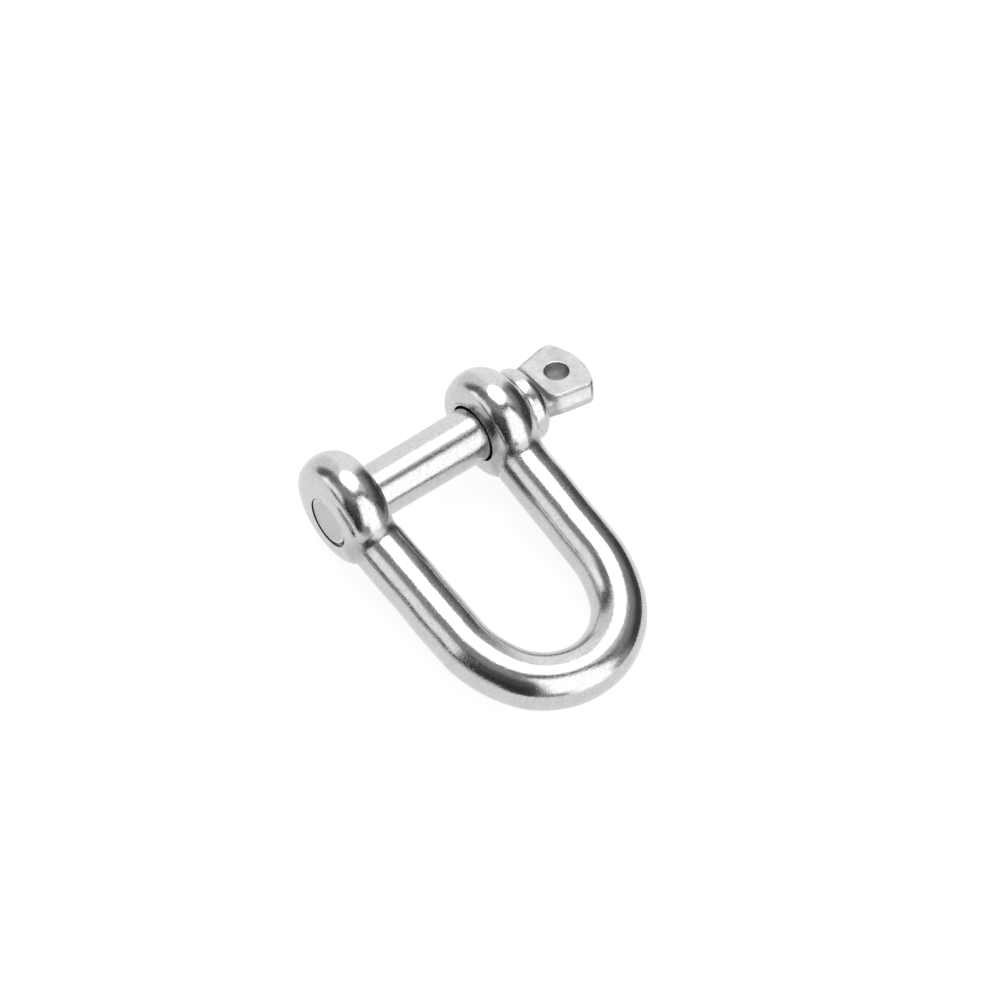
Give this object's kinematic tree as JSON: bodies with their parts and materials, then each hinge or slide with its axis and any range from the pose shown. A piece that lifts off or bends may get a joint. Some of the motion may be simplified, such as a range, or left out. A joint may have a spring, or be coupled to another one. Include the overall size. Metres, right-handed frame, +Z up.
{
  "type": "dee shackle",
  "caption": "Round-bar dee shackle with thick eyes, one plain and one tapped, closed by a collared screw pin with a flattened, drilled head.",
  "frame": {"origin": "on the pin's centre line, midway between the two eyes", "axes": "+X along the pin towards its head, crown of the bow towards -Y, +Z up from the surface on which the eyes and the crown rest"},
  "size_m": [0.0447, 0.049, 0.0164],
  "materials": {
    "bow_steel": "polished",
    "pin_steel": "polished shank, satin head"
  },
  "bodies": {
    "bow": {"bow": "bow_steel"},
    "pin": {"screw_pin": "pin_steel"}
  },
  "joints": [
    {"name": "pin_slide", "type": "slide", "parent": "bow", "child": "pin", "axis": [1, 0, 0], "range_m": [0, 0.045]}
  ]
}
